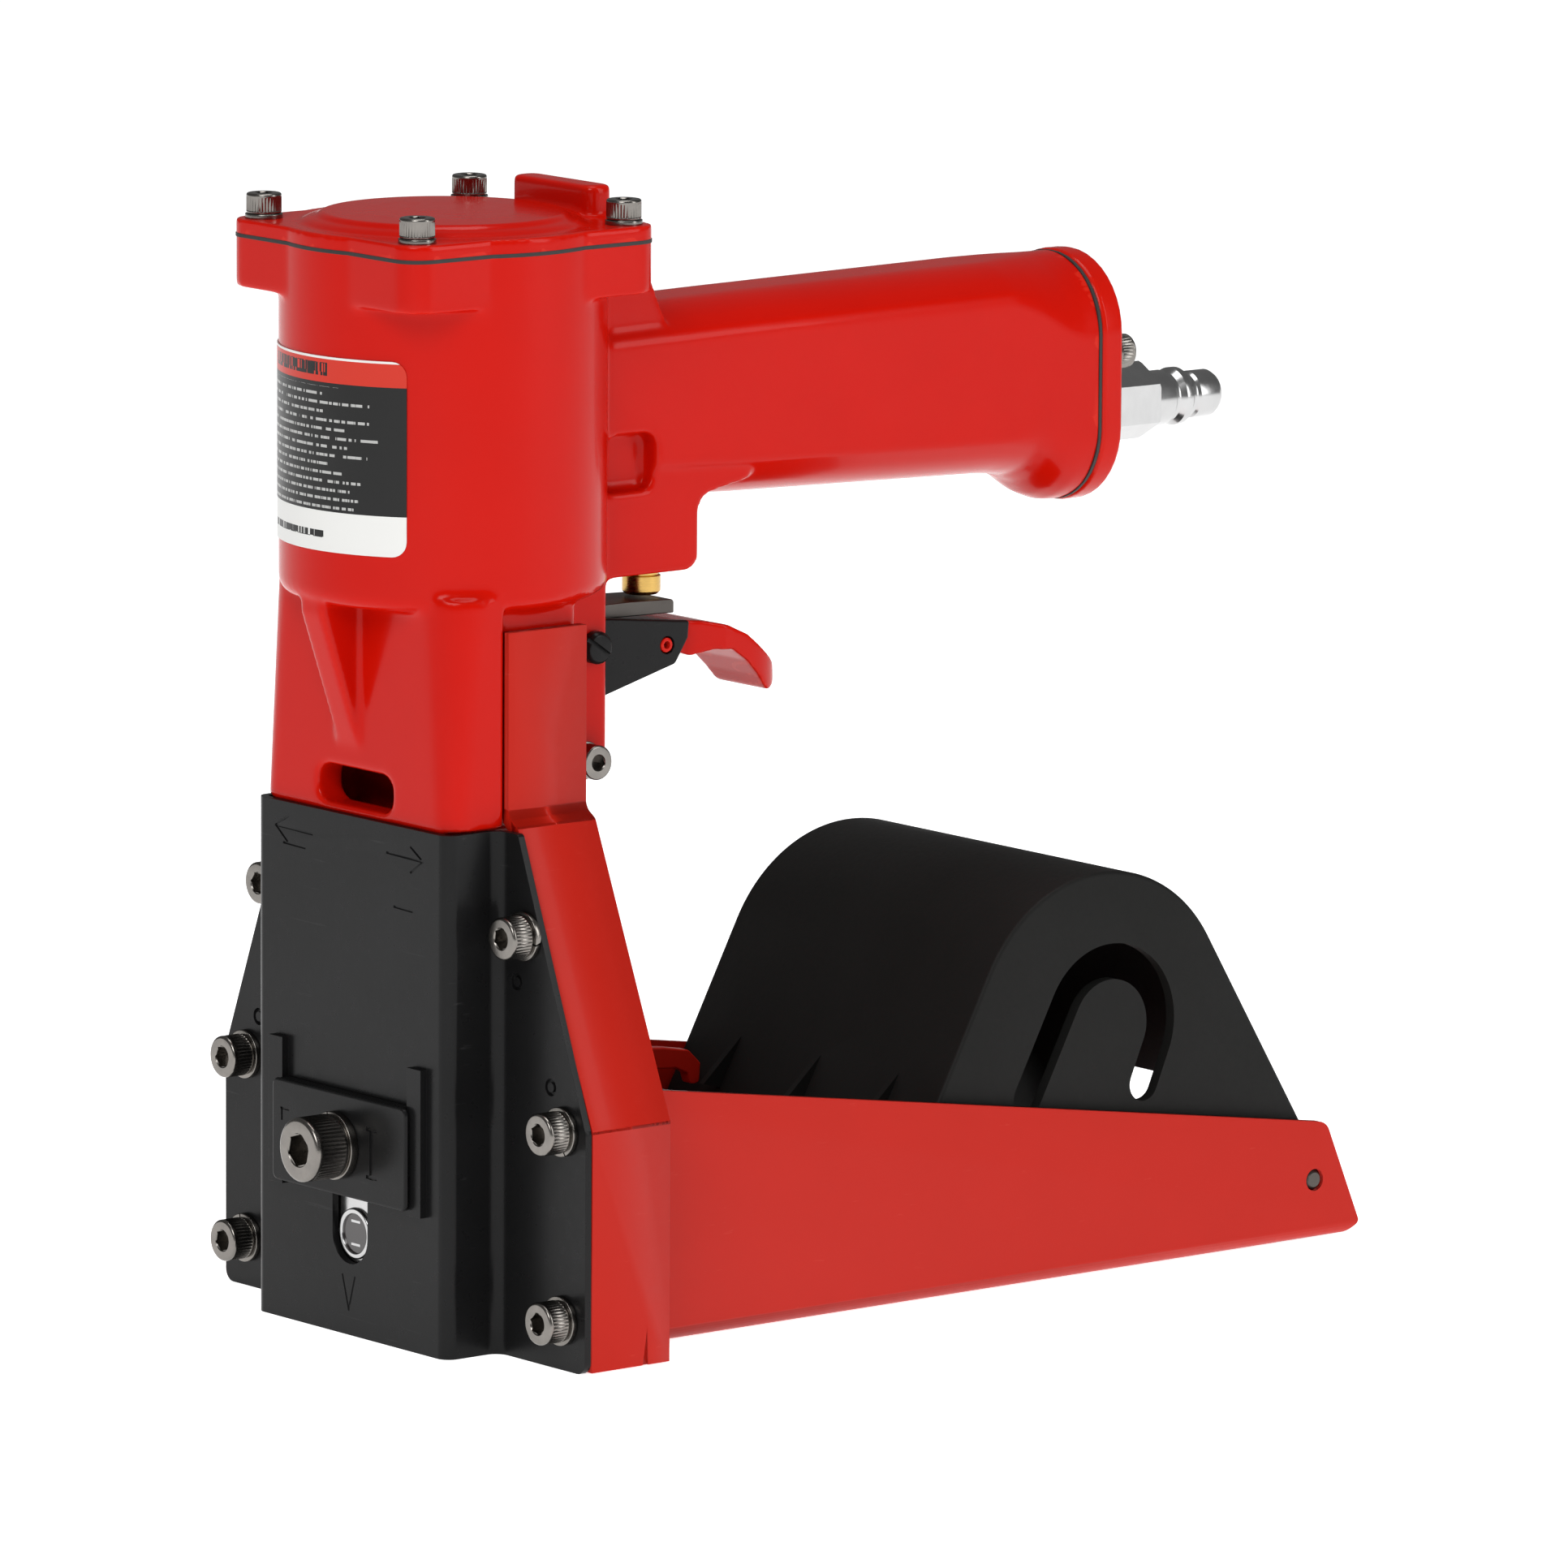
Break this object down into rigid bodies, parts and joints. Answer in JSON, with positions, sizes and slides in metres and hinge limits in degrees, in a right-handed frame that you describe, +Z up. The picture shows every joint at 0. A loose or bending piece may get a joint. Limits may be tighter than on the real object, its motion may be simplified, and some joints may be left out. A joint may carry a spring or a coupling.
{
  "type": "pneumatic carton stapler",
  "caption": "Air-powered carton-closing stapler: cast cylinder and grip, trigger, sheet-metal nose cover with clinchers and depth adjuster, and a tray with a tipping roll canister.",
  "frame": {"origin": "under the middle of the bounding box, on the sole", "axes": "+X from the nose towards the grip's air inlet, +Z up from the sole, +Y to the tool's left"},
  "size_m": [0.2418, 0.1184, 0.228],
  "materials": {
    "red_enamel": "glossy red enamel over die-cast aluminium",
    "red_sheet": "satin red powder coat on folded steel sheet",
    "black_sheet": "satin black coat on folded steel sheet",
    "black_plastic": "matte black moulded plastic",
    "dark_nickel": "dark nickel-plated socket screws with knurled heads",
    "bright_nickel": "bright nickel plate",
    "brass": "turned brass",
    "steel": "oiled bare steel",
    "aluminium": "turned aluminium",
    "rubber": "black nitrile rubber",
    "label_film": "printed film label with plain bands and bars"
  },
  "bodies": {
    "stapler_body": {"air_nipple": "bright_nickel", "body_housing": "red_enamel", "bumper": "rubber", "canister_pin": "steel", "cap_gasket": "rubber", "cap_screw_1": "dark_nickel", "cap_screw_2": "dark_nickel", "cap_screw_3": "dark_nickel", "cap_screw_4": "dark_nickel", "clincher_pin_left": "steel", "clincher_pin_right": "steel", "clincher_plate": "steel", "cover_screw_1": "dark_nickel", "cover_screw_2": "dark_nickel", "cover_screw_3": "dark_nickel", "cover_screw_4": "dark_nickel", "cover_screw_5": "dark_nickel", "cover_screw_6": "dark_nickel", "cylinder_cap": "red_enamel", "cylinder_sleeve": "aluminium", "ear_screw": "dark_nickel", "end_cap": "red_enamel", "end_cap_gasket": "rubber", "end_cap_screw_1": "dark_nickel", "end_cap_screw_2": "dark_nickel", "end_cap_screw_3": "dark_nickel", "feed_cylinder": "aluminium", "feed_spring": "steel", "feed_track": "steel", "front_cover": "black_sheet", "head_valve_spring": "steel", "inlet_filter": "brass", "label": "label_film", "loading_lever_pin": "steel", "side_plate_left": "red_sheet", "side_plate_right": "red_sheet", "tray": "red_sheet", "trigger_pivot_screw": "black_sheet", "valve_bush": "brass", "valve_spring": "steel"},
    "piston": {"piston": "aluminium", "piston_ring": "rubber", "driver_blade": "steel"},
    "head_valve": {"head_valve": "black_plastic"},
    "trigger": {"trigger_lever": "black_sheet", "trigger_finger": "red_enamel", "trigger_pin": "red_enamel", "trigger_plate": "steel"},
    "valve_stem": {"valve_stem": "brass"},
    "clincher_left": {"clincher_left": "steel"},
    "clincher_right": {"clincher_right": "steel"},
    "depth_adjuster": {"adjuster_plate": "black_sheet", "adjuster_screw": "dark_nickel", "adjuster_slider": "bright_nickel"},
    "canister": {"canister": "black_plastic"},
    "feed": {"feed_piston": "steel", "feed_pawl": "steel"},
    "loading_lever": {"loading_lever": "red_sheet"}
  },
  "joints": [
    {"name": "trigger_pull", "type": "hinge", "parent": "stapler_body", "child": "trigger", "pos_m": [-0.0579, 0, 0.1358], "axis": [0, -1, 0], "range_deg": [0, 6], "stiffness_Nm_per_rad": 1, "springref_deg": -11.46},
    {"name": "valve_stem_lift", "type": "slide", "parent": "stapler_body", "child": "valve_stem", "axis": [0, 0, 1], "range_m": [0, 0.0028], "deforming": ["valve_spring"]},
    {"name": "piston_stroke", "type": "slide", "parent": "stapler_body", "child": "piston", "axis": [0, 0, -1], "range_m": [0, 0.028]},
    {"name": "clincher_left_swing", "type": "hinge", "parent": "stapler_body", "child": "clincher_left", "pos_m": [-0.0887, 0.022, 0.04], "axis": [-1, 0, 0], "range_deg": [0, 50]},
    {"name": "clincher_right_swing", "type": "hinge", "parent": "stapler_body", "child": "clincher_right", "pos_m": [-0.0887, -0.022, 0.04], "axis": [1, 0, 0], "range_deg": [0, 50]},
    {"name": "head_valve_lift", "type": "slide", "parent": "stapler_body", "child": "head_valve", "axis": [0, 0, 1], "range_m": [0, 0.004], "stiffness_N_per_m": 800, "springref_m": -0.01, "deforming": ["head_valve_spring"]},
    {"name": "feed_stroke", "type": "slide", "parent": "stapler_body", "child": "feed", "axis": [1, 0, 0], "range_m": [0, 0.008], "stiffness_N_per_m": 800, "springref_m": -0.01, "deforming": ["feed_spring"]},
    {"name": "canister_tip", "type": "hinge", "parent": "stapler_body", "child": "canister", "pos_m": [0.1085, 0, 0.0126], "axis": [0, 1, 0], "range_deg": [0, 100]},
    {"name": "depth_set", "type": "slide", "parent": "stapler_body", "child": "depth_adjuster", "axis": [0, 0, 1], "range_m": [0, 0.0055]},
    {"name": "loading_lever_lift", "type": "hinge", "parent": "stapler_body", "child": "loading_lever", "pos_m": [-0.061, 0.031, 0.04], "axis": [0, -1, 0], "range_deg": [0, 35]}
  ],
  "couplings": [
    {"joint": "valve_stem_lift", "follows": "trigger_pull", "m_per_rad": 0.026},
    {"joint": "clincher_left_swing", "follows": "piston_stroke", "rad_per_m": 31.16},
    {"joint": "clincher_right_swing", "follows": "piston_stroke", "rad_per_m": 31.16}
  ]
}
